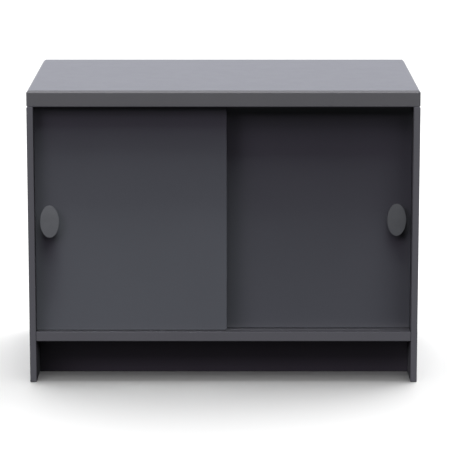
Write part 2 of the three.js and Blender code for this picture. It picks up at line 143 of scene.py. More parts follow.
# %% [markdown]
# ## Shader nodes in a few words
#
# A finish is a small graph of nodes, which could be drawn by hand in the shader editor. Written as code it
# can be repeated for every board. A few helpers keep the graphs short: one adds a node, sets its options
# and its sockets, and the others stand for the sums that come up again and again. A socket takes either a
# number or the output of another node, so a whole graph reads like a sum.

# %% Helpers for shader nodes
def fill(tree, node, sockets):
    """Sets the sockets of a node: a node's output is linked, and anything else is written as it is."""
    for name, value in sockets.items():
        if isinstance(value, bpy.types.NodeSocket):
            tree.links.new(value, node.inputs[name])
        else:
            node.inputs[name].default_value = value


def add(tree, kind, sockets=None, out=0, **options):
    """Adds one node, sets its options and sockets, and gives back one of its outputs."""
    node = tree.nodes.new(kind)
    for name, value in options.items():
        setattr(node, name, value)
    fill(tree, node, sockets or {})
    return node.outputs[out]


def sums(tree, operation, *values):
    """Adds one Math node."""
    return add(tree, "ShaderNodeMath", dict(enumerate(values)), operation=operation)


def arrows(tree, operation, *values, out=0):
    """Adds one Vector Math node."""
    return add(tree, "ShaderNodeVectorMath", dict(enumerate(values)), out=out, operation=operation)


def start_material(name):
    """A material with a Principled shader, its tree and the object's own coordinates."""
    material = bpy.data.materials.new(name)
    material.use_nodes = True
    tree = material.node_tree
    shader = tree.nodes["Principled BSDF"]
    place = add(tree, "ShaderNodeTexCoord", out="Object")
    return material, tree, shader, place


print("to write a graph: fill, add, sums, arrows and start_material")

# %% Helpers for tones and patterns
# Most of a noise pattern lies between these two values.
BULK = (0.3, 0.7)


def scaled_colour(tree, colour, factor):
    """A colour times a factor that changes over the surface."""
    grey = add(tree, "ShaderNodeCombineXYZ", {axis: factor for axis in "XYZ"})
    return arrows(tree, "MULTIPLY", tuple(colour), grey)


def remap(tree, value, from_min, from_max, to_min, to_max, smooth=True):
    """Carries a range of values onto another range, with soft ends."""
    sockets = {"Value": value, "From Min": from_min, "From Max": from_max, "To Min": to_min, "To Max": to_max}
    return add(tree, "ShaderNodeMapRange", sockets, interpolation_type="SMOOTHSTEP" if smooth else "LINEAR")


def noise(tree, place, scale, detail=2.0, roughness=0.5):
    """A cloudy pattern around 0.5, with that many lumps to a metre."""
    sockets = {"Vector": place, "Scale": scale, "Detail": detail, "Roughness": roughness}
    return add(tree, "ShaderNodeTexNoise", sockets, out="Fac")


def mottle(tree, pattern, strength, spread=0.2):
    """A pattern that strays from 0.5 by the spread, as tones that stray from 1 by the strength."""
    return remap(tree, pattern, 0.5 - spread, 0.5 + spread, 1 - strength, 1 + strength, smooth=False)


def bump(tree, height, strength, depth):
    """Shades the surface as if the pattern stood out from it by up to that depth."""
    sockets = {"Height": height, "Strength": strength, "Distance": depth}
    return add(tree, "ShaderNodeBump", sockets, out="Normal")


print("to vary a surface: scaled_colour, remap, noise, mottle and bump")

# %% [markdown]
# ## Floor and background
#
# The photograph has a white background and a floor that shows only as a soft shadow. A brighter room would
# give the white but wash out the cabinet, so the world is white only where the camera, a reflection or a
# clear material looks at it, and gives no light besides. The floor is a plain disc that casts no shadow,
# because one lamp of the top stands partly under it. Two wide suns of its own light nothing else, one high
# up behind the cabinet and one low in front of it that reaches under the bottom, so the shadow can be as
# wide and pale as the photograph's.

# %% Tell the rays that show the background
ROOM_GLOW = 0.02


def shown_white(tree, place, dark_y, white_y):
    """1 for the rays that show a background. For the camera that is everywhere. For a reflection or a clear
    material it is the backdrop: white from white_y back, and nearly dark towards the room at dark_y."""
    rays = tree.nodes.new("ShaderNodeLightPath").outputs
    mirrored = sums(tree, "MAXIMUM", rays["Is Glossy Ray"], rays["Is Transmission Ray"])
    y = add(tree, "ShaderNodeSeparateXYZ", {"Vector": place}, out="Y")
    backdrop = remap(tree, y, dark_y, white_y, ROOM_GLOW, 1)
    return sums(tree, "MAXIMUM", rays["Is Camera Ray"], sums(tree, "MULTIPLY", mirrored, backdrop))


print("in reflections the room in front glows at", ROOM_GLOW)

# %% Lay the floor
FLOOR_REACH = 60
FLOOR_WHITE = 0.9
FLOOR_BOUNCE = 0.02
FLOOR_CLOUDS = 3
FLOOR_CLOUD_TONES = (0.995, 1.005)


def disc(name, radius, sides=128):
    """A flat round sheet: the points (r cos t, r sin t, 0) at equal steps of t, joined as one face."""
    turn = np.linspace(0, 2 * np.pi, sides, endpoint=False)
    points = np.stack([radius * np.cos(turn), radius * np.sin(turn), np.zeros(sides)], axis=1)
    mesh = bpy.data.meshes.new(name)
    mesh.from_pydata(points.tolist(), [], [list(range(sides))])
    sheet = bpy.data.objects.new(name, mesh)
    bpy.context.scene.collection.objects.link(sheet)
    return sheet


def floor_material():
    """Pale for what looks at it, and nearly black for the light that it throws back up at the cabinet."""
    material, tree, shader, place = start_material("floor")
    tree.nodes.remove(shader)
    seen = shown_white(tree, place, LOW[1], HIGH[1])
    tone = remap(tree, seen, 0, 1, FLOOR_BOUNCE, FLOOR_WHITE, smooth=False)
    grain = remap(tree, noise(tree, place, FLOOR_CLOUDS), 0, 1, *FLOOR_CLOUD_TONES)
    level = {name: sums(tree, "MULTIPLY", tone, grain) for name in ("Red", "Green", "Blue")}
    surface = add(tree, "ShaderNodeBsdfDiffuse", {"Color": add(tree, "ShaderNodeCombineColor", level)})
    fill(tree, tree.nodes["Material Output"], {"Surface": surface})
    return material


floor = disc("floor", FLOOR_REACH)
floor.data.materials.append(floor_material())
floor.visible_shadow = False
floor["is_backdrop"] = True
print("floor", FLOOR_REACH, "m in radius")

# %% Fill the world
ROOM_AT, BACKDROP_AT = -0.6, 0.4
BACKDROP_COOLS = (0.12, 0.1, 0)

world = bpy.data.worlds.new("world")
bpy.context.scene.world = world
world.use_nodes = True
sky = world.node_tree
direction = add(sky, "ShaderNodeTexCoord", out="Generated")
strength = shown_white(sky, direction, ROOM_AT, BACKDROP_AT)
not_camera = sums(sky, "SUBTRACT", 1, add(sky, "ShaderNodeLightPath", out="Is Camera Ray"))
white = arrows(sky, "SUBTRACT", (1, 1, 1), scaled_colour(sky, BACKDROP_COOLS, not_camera))
fill(sky, sky.nodes["Background"], {"Color": white, "Strength": strength})
print("a white world that lights nothing")

# %% [markdown]
# ## Lamps
#
# The doors in the photograph are dark under the top and grow lighter all the way down, the rear one more
# slowly than the front one. Only light that falls almost straight down does that: the overhang of the top
# hides such a lamp from the upper part of a door. The shadows of the pulls, of the sides and of the front
# door's edge tell where the lower light comes from, which is mostly the left in front and the right higher
# up. The boards round the doors have the same tone on their faces as on their ledges, which takes light from
# well in front, and the lower edge of the top is pale, as if lit from below.
#
# One set of lamps can't do all of that. So there are separate sets of soft boxes, as if with flags between
# them: a rail of boxes for the doors, one for the carcass and the front pull, one for the top, and one each
# for the rear pull and the toe kick, which are in deeper shade. Which pieces a rail lights is settled when
# all of them are made. The shade under the top is a touch more purple than the open part of the doors, so
# the boxes that reach into it are tinted that way and the steep ones the other way.

# %% Choose the tints and the sectors
WHITE = (1, 1, 1)
COOLER = (0.985, 1.04, 1)
WARMER = (1.04, 0.91, 1.06)

# A sector is how far a box reaches to each side and how far it leans to the left, as shares of how far in
# front it hangs.
EVERYWHERE = (3.2, 0.3)
BROAD = (1.6, 0.4)
AHEAD = (0.9, 0.3)
NEAR_LEFT = (1, 1)
FROM_LEFT = (1.15, 2.35)
FROM_RIGHT = (1.15, -1.75)
for name, (reach, lean) in {"right": FROM_RIGHT, "ahead": AHEAD, "left": FROM_LEFT}.items():
    print(name, "from", round(lean - reach, 2), "to", round(lean + reach, 2), "to the left")

# %% Choose the soft boxes
# Each box has the two angles from straight overhead between which it hangs, its power, tint and sector.
SOFT_BOXES = {
    "door": {
        "overhead": (0.5, 4, 26900, COOLER, EVERYWHERE),
        "high": (4, 9, 7900, COOLER, EVERYWHERE),
        "middle_ahead": (9, 18, 1270, COOLER, AHEAD),
        "middle_right": (9, 18, 2670, COOLER, FROM_RIGHT),
        "low_left": (18, 36, 2500, WARMER, FROM_LEFT),
        "low_ahead": (18, 36, 740, WARMER, AHEAD),
        "front_left": (36, 60, 4830, WARMER, FROM_LEFT),
        "front_right": (36, 60, 1850, WARMER, FROM_RIGHT),
    },
    "carcass": {
        "behind": (-40, 0.5, 5500, WHITE, BROAD),
        "front": (48, 72, 8600, WHITE, BROAD),
    },
    "top": {
        "behind": (-40, 0.5, 6700, WHITE, BROAD),
        "steep": (5, 25, 1000, WHITE, BROAD),
        "low": (95, 115, 6300, WHITE, BROAD),
    },
    "rear_pull": {
        "front": (48, 72, 6000, WHITE, BROAD),
    },
    "toe_kick": {
        "front": (36, 60, 2500, WARMER, NEAR_LEFT),
        "far": (60, 86, 750, WARMER, NEAR_LEFT),
    },
}
print(sum(len(boxes) for boxes in SOFT_BOXES.values()), "soft boxes on", len(SOFT_BOXES), "rails")

# %% Hang the soft boxes
LAMP_DISTANCE = 20
DOOR_MIDDLE = 0.4
FRONT_PLANE = LOW[1]


def hang_lamp(name, near_angle, far_angle, power, colour, sector):
    """A long soft box on an arc over the doors, between two angles from straight overhead. At the angle a it
    hangs at (0, y - R sin a, z + R cos a) and looks back along its radius. Its reach to the left and right
    and its lean are shares of R sin a, because the ratio of sideways to forwards is how far the shadow of a
    side or a pull spreads over a door."""
    middle, half = (math.radians(angle / 2) for angle in (near_angle + far_angle, far_angle - near_angle))
    forward = LAMP_DISTANCE * math.sin(middle)
    above = LAMP_DISTANCE * math.cos(middle)
    reach, lean = sector
    data = bpy.data.lights.new(name, "AREA")
    data.shape = "RECTANGLE"
    data.size = 2 * reach * abs(forward)
    data.size_y = 2 * LAMP_DISTANCE * math.tan(half)
    data.energy, data.color = power, colour
    lamp = bpy.data.objects.new(name, data)
    lamp.location = (-lean * abs(forward), FRONT_PLANE - forward, DOOR_MIDDLE + above)
    lamp.rotation_euler = (middle, 0, 0)
    bpy.context.scene.collection.objects.link(lamp)
    return lamp


lit_by = {rail: bpy.data.collections.new(f"lit_by_{rail}_lamps") for rail in (*SOFT_BOXES, "floor")}
for rail, boxes in SOFT_BOXES.items():
    for box, settings in boxes.items():
        lamp = hang_lamp(f"{rail}_{box}", *settings)
        lamp.light_linking.receiver_collection = lit_by[rail]
print("soft boxes hung", LAMP_DISTANCE, "m away")

# %% Light the floor by itself
# Each sun has its width, its tilt and its lean in degrees, and its level.
FLOOR_SUNS = {"floor_high": (75, -25, 7, 4.4), "floor_low": (60, 40, 0, 0.85)}

lit_by["floor"].objects.link(floor)
for name, (width, tilt, lean, level) in FLOOR_SUNS.items():
    sun_data = bpy.data.lights.new(name, "SUN")
    sun_data.angle = math.radians(width)
    sun_data.energy = level
    sun = bpy.data.objects.new(name, sun_data)
    sun.rotation_euler = (math.radians(tilt), math.radians(lean), 0)
    sun.light_linking.receiver_collection = lit_by["floor"]
    bpy.context.scene.collection.objects.link(sun)
print(len(FLOOR_SUNS), "suns for the floor")

# %% [markdown]
# ## Charcoal board
#
# The boards are coloured right through, like a solid plastic sheet, with a fine matte surface. Such a sheet
# is never one even tone: it has slow clouds from the way it was pressed, a fine fleck, and a skin of tiny
# dimples. Its edges were cut and eased, so the narrow faces carry faint ripples from the cutter and the
# eased corners are a little smoother from handling. A painted map could show all that, but a pattern worked
# out from the object's own coordinates has the right scale on every board. It needs to know where a board's
# edges are, so each board gets its own copy of the finish with its middle and half sizes written in.

# %% Choose the tones of the board
BOARD_COLOUR = (0.085, 0.084, 0.097)
# The doors are the same sheet as the carcass. Their copy of the colour is darker and a touch greener, which
# is painted shade.
DOOR_SHADED_COLOUR = (0.079, 0.083, 0.095)
BOARD_GLOSS = 0.5
BOARD_MATTE = (0.3, 0.313)
HANDLED_EDGE = (0.5 * MM, 3.5 * MM)
HANDLED_SMOOTHER = 0.05
EDGE_EASE = 1.2 * MM
CUT_FACE_BAND = (EDGE_EASE, 1.6 * EDGE_EASE)

# Lumps to a metre, and how strongly each pattern shows.
BOARD_CLOUDS, CLOUD_STRENGTH = 5, 0.03
BOARD_FLECKS, FLECK_STRENGTH = 900, 0.1
BOARD_SPREAD = 0.25
BOARD_RUBS = 28
BOARD_DIMPLES, DIMPLE_SHARE = 1300, 0.5
CUTTER_PITCH = 2.2 * MM
CUTTER_ACROSS = 60.0

# The strength and the depth of the relief.
BOARD_BUMP = (0.5, 0.1 * MM)
print("one fleck to", round(1 / BOARD_FLECKS / MM, 1), "mm")
print("one cutter ripple to", round(CUTTER_PITCH / MM, 1), "mm")


# %% Mix the board finish
def distances_inside(tree, place, middle, half):
    """How far inside a box a point lies along x, y and z: half - |place - middle|."""
    from_middle = arrows(tree, "ABSOLUTE", arrows(tree, "SUBTRACT", place, tuple(middle)))
    split = tree.nodes.new("ShaderNodeSeparateXYZ")
    fill(tree, split, {"Vector": arrows(tree, "SUBTRACT", tuple(half), from_middle)})
    return split.outputs


def second_least(tree, x, y, z):
    """The middle one of three values: their sum less the least and the most."""
    least = sums(tree, "MINIMUM", sums(tree, "MINIMUM", x, y), z)
    most = sums(tree, "MAXIMUM", sums(tree, "MAXIMUM", x, y), z)
    total = sums(tree, "ADD", sums(tree, "ADD", x, y), z)
    return sums(tree, "SUBTRACT", sums(tree, "SUBTRACT", total, least), most)


def board_material(name, colour, low, high):
    """Charcoal sheet. The second smallest distance to a board's faces is 0 along its edges and grows away
    from them, and the distance to its two broad faces tells the cut edges from the pressed faces."""
    material, tree, shader, place = start_material(name)
    half = (high - low) / 2
    inside = distances_inside(tree, place, (low + high) / 2, half)
    edge = remap(tree, second_least(tree, *inside), *HANDLED_EDGE, 1, 0)
    cut_face = remap(tree, inside[int(np.argmin(half))], *CUT_FACE_BAND, 0, 1)

    cloud = mottle(tree, noise(tree, place, BOARD_CLOUDS, detail=3), CLOUD_STRENGTH, BOARD_SPREAD)
    fleck = mottle(tree, noise(tree, place, BOARD_FLECKS, roughness=0.7), FLECK_STRENGTH, BOARD_SPREAD)
    tone = sums(tree, "MULTIPLY", cloud, fleck)
    rub = remap(tree, noise(tree, place, BOARD_RUBS, detail=4), *BULK, *BOARD_MATTE)
    matte = sums(tree, "SUBTRACT", rub, sums(tree, "MULTIPLY", edge, HANDLED_SMOOTHER))

    stretch = np.full(3, CUTTER_ACROSS)
    stretch[int(np.argmax(half))] = 1 / CUTTER_PITCH
    ripple = noise(tree, arrows(tree, "MULTIPLY", place, tuple(stretch)), 1, detail=1)
    dimples = sums(tree, "MULTIPLY", noise(tree, place, BOARD_DIMPLES, detail=1), DIMPLE_SHARE)
    relief = sums(tree, "ADD", dimples, sums(tree, "MULTIPLY", ripple, cut_face))
    fill(tree, shader, {"Base Color": scaled_colour(tree, colour, tone), "Roughness": matte,
                        "Normal": bump(tree, relief, *BOARD_BUMP), "Specular IOR Level": BOARD_GLOSS})
    return material


# %% Finish the boards
BOARD_ENDINGS = ("_panel", "_side", "_shelf", "_door", "_divider", "toe_kick", "rear_plinth")


def corners(node):
    """The lowest and highest corner of a node as arrays."""
    return (np.array(corner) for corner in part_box(node))


BOARDS = [name for name in frame["nodes"] if name.endswith(BOARD_ENDINGS)]
for name in BOARDS:
    # The doors take the copy of the colour that carries painted shade.
    colour = DOOR_SHADED_COLOUR if name.endswith("_door") else BOARD_COLOUR
    board = frame["nodes"][name]
    board.data.materials.clear()
    board.data.materials.append(board_material(f"charcoal_{name}", colour, *corners(name)))
print(len(BOARDS), "boards finished")

# %% [markdown]
# ## Small pieces as stacks of outlines
#
# Every small piece is a stack of closed outlines: each outline is one row of points, and a skin of quads
# joins each row to the next. They could be modelled one by one with bevels, but an oval for the pulls, a
# rectangle with round corners for the runners and the brackets, a circle for the pins and a cross for the
# recess of a screw are all that it takes. The rows are worked out as whole arrays, so a piece is a formula
# and not a list of corners.

# %% Skin a stack of outlines
SMOOTH_BELOW = math.radians(40)


def skin(name, rows, body, material):
    """Makes a closed mesh from rows of the shape (levels, around, 3). With i the level and j the place
    around, the quads are (i, j), (i, j + 1), (i + 1, j + 1), (i + 1, j), and a fan to its middle closes each
    end. The sum of p0 . (p1 x p2) over the triangles is six times the volume, and its sign turns the faces
    outwards. The piece rides on a body and stands for the CAD node of the same name."""
    levels, around = rows.shape[:2]
    here = np.arange(levels * around).reshape(levels, around)
    after = np.roll(here, -1, axis=1)
    quads = np.stack([here[:-1], after[:-1], after[1:], here[1:]], axis=-1).reshape(-1, 4)
    ends = np.full((2, around), levels * around) + np.array([[0], [1]])
    fans = np.concatenate([np.stack([after[0], here[0], ends[0]], axis=-1),
                           np.stack([here[-1], after[-1], ends[1]], axis=-1)])
    points = np.concatenate([rows.reshape(-1, 3), rows[[0, -1]].mean(axis=1)])
    triangles = np.concatenate([quads[:, [0, 1, 2]], quads[:, [0, 2, 3]], fans])
    p0, p1, p2 = points[triangles].transpose(1, 0, 2)
    step = 1 if np.einsum("ij,ij", p0, np.cross(p1, p2)) > 0 else -1
    mesh = bpy.data.meshes.new(name)
    mesh.from_pydata(points.tolist(), [], quads[:, ::step].tolist() + fans[:, ::step].tolist())
    mesh.polygons.foreach_set("use_smooth", [True] * len(mesh.polygons))
    mesh.set_sharp_from_angle(angle=SMOOTH_BELOW)
    mesh.materials.append(material)
    piece = bpy.data.objects.new(f"{name}_piece", mesh)
    bpy.context.scene.collection.objects.link(piece)
    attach(piece, body)
    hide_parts(name)
    return piece


print("edges under", round(math.degrees(SMOOTH_BELOW)), "degrees are shaded smooth")


# %% Draw the outlines
def placed(outlines, distances, place, along):
    """Stands flat outlines (levels, around, 2) across a direction: a point (u, v) of an outline at the
    distance d goes to place + u across + v sideways + d along."""
    along = np.array(along, float)
    across = np.roll(along, 1)
    sideways = np.cross(along, across)
    distances = np.broadcast_to(distances, outlines.shape[:2])[..., None]
    return np.array(place) + outlines[..., :1] * across + outlines[..., 1:] * sideways + distances * along


def circles(radii, turns):
    """Points (r cos t, r sin t) for radii of the shape (levels, 1) or (levels, around)."""
    return np.stack([radii * np.cos(turns), radii * np.sin(turns)], axis=-1)


def round_rectangle(half_u, half_v, corner, steps=5):
    """A rectangle about 0 whose corners are quarter circles: each point is a corner's centre plus its arc."""
    turns = (np.arange(4)[:, None] * np.pi / 2 + np.linspace(0, np.pi / 2, steps)).ravel()
    sides = np.repeat(np.arange(4) * np.pi / 2 + np.pi / 4, steps)
    centres = np.sign(circles(1, sides)) * (np.array([half_u, half_v]) - corner)
    return centres + circles(corner, turns)


def eased(thickness, ease, steps=4):
    """How far a slab's outline is drawn in, ease (1 - sin s), and at what distance, ease (1 - cos s), when
    both its edges are rounded."""
    turns = np.linspace(0, np.pi / 2, steps)
    inset = ease * (1 - np.sin(turns))
    distance = ease * (1 - np.cos(turns))
    return np.concatenate([inset, inset[::-1]]), np.concatenate([distance, thickness - distance[::-1]])


print("a round rectangle has", len(round_rectangle(1, 1, 0.1)), "points")

# %% [markdown]
# ## Pulls
#
# Each door has one oval knob of moulded plastic, a little paler than the board behind it. It stands on a
# narrower foot, so that fingers find a hold behind its rim. A lathe can't turn an oval, and a lathed knob
# squeezed into one would have a cove that is shallower on two sides. So the ovals are drawn in by the same
# amount all round, row by row.

# %% Mix the pulls' plastic
PULL_COLOUR = (0.081, 0.084, 0.094)
PULL_GLOSS = 0.5
PULL_MATTE = (0.46, 0.56)
PULL_CLOUDS, PULL_FLECKS, PULL_GRAINS, PULL_RUBS = 45, 700, 1500, 60
PULL_STRENGTH = 0.05
PULL_BUMP = (0.25, 0.06 * MM)
# Round the rim, where Pointiness is high, the colour is made up to this much paler.
RIM_POINTINESS = (0.5, 0.6)
RIM_PALER = 1.12


def pull_material():
    """Moulded plastic like the boards': a fine spark-eroded grain, faint flow clouds, a roughness that varies
    in patches, and a colour made paler round the rim, where Pointiness is high."""
    material, tree, shader, place = start_material("charcoal_pull")
    grain = add(tree, "ShaderNodeTexVoronoi", {"Vector": place, "Scale": PULL_GRAINS, "Randomness": 1},
                out="Distance")
    cloud = mottle(tree, noise(tree, place, PULL_CLOUDS, detail=3), PULL_STRENGTH)
    fleck = mottle(tree, noise(tree, place, PULL_FLECKS), PULL_STRENGTH)
    rim = add(tree, "ShaderNodeNewGeometry", out="Pointiness")
    rim_tone = remap(tree, rim, *RIM_POINTINESS, 1, RIM_PALER)
    tone = sums(tree, "MULTIPLY", sums(tree, "MULTIPLY", cloud, fleck), rim_tone)
    matte = remap(tree, noise(tree, place, PULL_RUBS, detail=4), *BULK, *PULL_MATTE)
    fill(tree, shader, {"Base Color": scaled_colour(tree, PULL_COLOUR, tone), "Roughness": matte,
                        "Normal": bump(tree, grain, *PULL_BUMP), "Specular IOR Level": PULL_GLOSS})
    return material


PULL_FINISH = pull_material()
print("mixed", PULL_FINISH.name)

# %% Mould the pulls
PULL_COVE = (6 * MM, 7 * MM)
PULL_RIM = 0.5 * MM
COVE_STEPS, RIM_STEPS, PULL_AROUND = 9, 8, 128
FORWARDS = (0, -1, 0)


def pull_rows(node):
    """An oval knob. Its outline (a cos t, b sin t) is drawn in by 6 mm at the door, comes out along a cove
        inset = 6 cos s, distance = 7 sin s
    runs straight for about 2 mm, and turns over a round rim into the flat face."""
    low, high = corners(node)
    half_x, _, half_z = (high - low) / 2
    thickness = high[1] - low[1]
    cove = np.linspace(0, np.pi / 2, COVE_STEPS)
    rim = np.linspace(0, np.pi / 2, RIM_STEPS)
    inset = np.concatenate([PULL_COVE[0] * np.cos(cove), PULL_RIM * (1 - np.cos(rim))])[:, None]
    distance = np.concatenate([PULL_COVE[1] * np.sin(cove), thickness - PULL_RIM * (1 - np.sin(rim))])
    turns = np.linspace(0, 2 * np.pi, PULL_AROUND, endpoint=False)
    oval = np.stack([(half_z - inset) * np.cos(turns), (half_x - inset) * np.sin(turns)], axis=-1)
    middle = (low + high) / 2
    return placed(oval, distance[:, None], (middle[0], high[1], middle[2]), FORWARDS)


for door in ("front", "rear"):
    rows = pull_rows(f"{door}_pull")
    skin(f"{door}_pull", rows, f"{door}_door_set", PULL_FINISH)
    print(f"{door} pull of {rows.shape[0]} ovals")

# %% [markdown]
# ## Runners and guides
#
# The doors don't rub on the board: dark nylon plates are let into their backs, two runners at the bottom
# that slide in the lower groove and two guides at the top that reach up into the upper one. A box with a
# bevel would do, but the plates are routed with round corners and only then eased, so each is a stack of
# round rectangles. Nylon is waxy, and sliding leaves fine scratches along the groove.

# %% Mix the nylon
NYLON_COLOUR = (0.052, 0.054, 0.06)
NYLON_GLOSS = 0.4
NYLON_MATTE = (0.34, 0.5)
NYLON_CLOUDS, NYLON_STRENGTH = 120, 0.1
ALONG_THE_GROOVE = (40, 2400, 2400)
SCRATCHED = (0.52, 0.7)
SCRATCH_PALER = 1.5
SCRATCH_BUMP = (0.3, 0.03 * MM)


def nylon_material():
    """Dark nylon: waxy, a little clouded, with fine scratches along the groove that it slides in."""
    material, tree, shader, place = start_material("dark_nylon")
    cloud = mottle(tree, noise(tree, place, NYLON_CLOUDS, detail=3), NYLON_STRENGTH)
    along = arrows(tree, "MULTIPLY", place, ALONG_THE_GROOVE)
    scratch = remap(tree, noise(tree, along, 1, detail=3, roughness=0.7), *SCRATCHED, 0, 1)
    tone = sums(tree, "MULTIPLY", cloud, remap(tree, scratch, 0, 1, 1, SCRATCH_PALER, smooth=False))
    matte = remap(tree, scratch, 0, 1, *NYLON_MATTE, smooth=False)
    fill(tree, shader, {"Base Color": scaled_colour(tree, NYLON_COLOUR, tone), "Roughness": matte,
                        "Normal": bump(tree, scratch, *SCRATCH_BUMP), "Specular IOR Level": NYLON_GLOSS})
    return material


NYLON_FINISH = nylon_material()
print("mixed", NYLON_FINISH.name)

# %% Cut the runners and guides
PLATE_CORNER = 2.5 * MM
PLATE_EASE = 0.6 * MM
BACKWARDS = (0, 1, 0)


def plate_rows(node):
    """A nylon plate let into the back of a door: a rectangle with round corners and eased edges."""
    low, high = corners(node)
    half = (high - low) / 2
    inset, distance = eased(high[1] - low[1], PLATE_EASE)
    outlines = np.stack([round_rectangle(half[2] - i, half[0] - i, PLATE_CORNER - i) for i in inset])
    middle = (low + high) / 2
    return placed(outlines, distance[:, None], (middle[0], low[1], middle[2]), BACKWARDS)


PLATES = [node for node in frame["nodes"] if node.endswith(("_runner", "_guide"))]
for node in PLATES:
    skin(node, plate_rows(node), f"{node.split('_')[0]}_door_set", NYLON_FINISH)
print(len(PLATES), "runners and guides")

# %% [markdown]
# ## Steel and beech
#
# The fixings sit where nobody looks until the doors slide or the cabinet turns its back, but they have
# their real finishes too. Screws, brackets and pins are plated steel, whose crystals differ a little in
# tone, and the dowels are beech, with bands along the grain and short dark flecks. Both patterns are
# stretched noise or cells on the object's own coordinates, because a picture of wood or metal would be far
# too coarse for a piece of 8 mm.

# %% Mix the steel
STEEL_COLOUR = (0.62, 0.62, 0.6)
STEEL_MATTE = (0.28, 0.46)
STEEL_TONES = (0.88, 1.08)
STEEL_CRYSTALS, STEEL_CLOUDS = 900, 180
WIPED_ALONG = (300, 3000, 300)
WIPING_BUMP = (0.2, 0.02 * MM)


def steel_material():
    """Zinc-plated steel: crystals of slightly different tone, a cloudy roughness and fine wiping marks."""
    material, tree, shader, place = start_material("zinc_steel")
    crystal = add(tree, "ShaderNodeTexVoronoi", {"Vector": place, "Scale": STEEL_CRYSTALS, "Randomness": 1},
                  out="Color")
    shade = add(tree, "ShaderNodeSeparateColor", {"Color": crystal}, out="Red")
    tone = remap(tree, shade, 0, 1, *STEEL_TONES, smooth=False)
    matte = remap(tree, noise(tree, place, STEEL_CLOUDS, detail=4), *BULK, *STEEL_MATTE)
    marks = noise(tree, arrows(tree, "MULTIPLY", place, WIPED_ALONG), 1)
    fill(tree, shader, {"Base Color": scaled_colour(tree, STEEL_COLOUR, tone), "Roughness": matte,
                        "Normal": bump(tree, marks, *WIPING_BUMP), "Metallic": 1.0})
    return material


STEEL_FINISH = steel_material()
print("mixed", STEEL_FINISH.name)

# %% Mix the beech
BEECH_COLOURS = ((0.42, 0.27, 0.15, 1), (0.6, 0.43, 0.27, 1))
BANDS_ALONG = (40, 900, 900)
BAND_COLOURED, BAND_FELT = (0.25, 0.7), (0.2, 0.8)
BEECH_MATTE = (0.7, 0.55)
RAYS_ALONG = (500, 3500, 3500)
RAY_SHOWN = (0.62, 0.7)
RAY_DARKER = 0.3
GRAIN_BUMP = (0.4, 0.05 * MM)


def beech_material():
    """Beech: pale and darker growth bands along the dowel, with the short dark flecks of its rays."""
    material, tree, shader, place = start_material("beech_dowel")
    bands = noise(tree, arrows(tree, "MULTIPLY", place, BANDS_ALONG), 1, detail=3, roughness=0.6)
    rays = noise(tree, arrows(tree, "MULTIPLY", place, RAYS_ALONG), 1, detail=1)
    flecks = sums(tree, "MULTIPLY", remap(tree, rays, *RAY_SHOWN, 0, 1), RAY_DARKER)
    share = remap(tree, sums(tree, "SUBTRACT", bands, flecks), *BAND_COLOURED, 0, 1)
    colour = add(tree, "ShaderNodeValToRGB", {"Fac": share})
    for stop, tone in zip(tree.nodes["Color Ramp"].color_ramp.elements, BEECH_COLOURS):
        stop.color = tone
    fill(tree, shader, {"Base Color": colour, "Roughness": remap(tree, bands, *BAND_FELT, *BEECH_MATTE),
                        "Normal": bump(tree, bands, *GRAIN_BUMP)})
    return material


BEECH_FINISH = beech_material()
print("mixed", BEECH_FINISH.name)

# %% [markdown]
# ## Screws
#
# Two screws hold each pull from behind, eight hold the back panel, and each bracket has one into the side
# and one into the top. A thread could be swept along a helix and joined to a shank, which takes two meshes
# and a boolean. Here a screw is one stack of rows from the floor of its cross recess over the head and down
# the thread to the point: the radius swells and shrinks with depth and angle together, which is what a
# thread is. The angles of the rows are chosen to meet the corners of the cross.

# %% Cut the cross recess
CROSS_REACH_SHARE = 0.6
CROSS_WIDTH_SHARE = 0.17


def cross_turns(reach, half_width):
    """Angles around a screw that meet the corners of its cross: the tips' at asin(w / R), the inner at 45."""
    eighth = np.concatenate([[0], np.linspace(math.asin(half_width / reach), np.pi / 4, 4)])
    quarter = np.concatenate([eighth, np.pi / 2 - eighth[-2:0:-1]])
    return (np.arange(4)[:, None] * np.pi / 2 + quarter).ravel()


def cross_radius(turns, reach, half_width):
    """The outline of a cross: R(t) = max(min(R, w / |sin t|), min(R, w / |cos t|))."""
    slope = np.maximum(np.abs(np.stack([np.sin(turns), np.cos(turns)])), 1e-9)
    return np.minimum(reach, half_width / slope).max(axis=0)


print("a cross has", len(cross_turns(CROSS_REACH_SHARE, CROSS_WIDTH_SHARE)), "points around")

# %% Turn the rows of a screw
SEAM = 0.1 * MM
HEAD_ROOM = 0.1 * MM
SCREW_TIP = 1.5 * MM
TIP_SHARE = 0.15
THREAD_PITCH = 1.4 * MM
THREAD_STEPS = 6
THREAD_DEPTH_SHARE = 0.2
HEAD_RINGS = (0.72, 0.84, 0.93, 0.98, 1)
DOME_POWER = 2.6
DOME_RECESS_SHARE = 0.3
FLAT_RECESS_SHARE = 0.5
RECESS_TAPER = 0.7


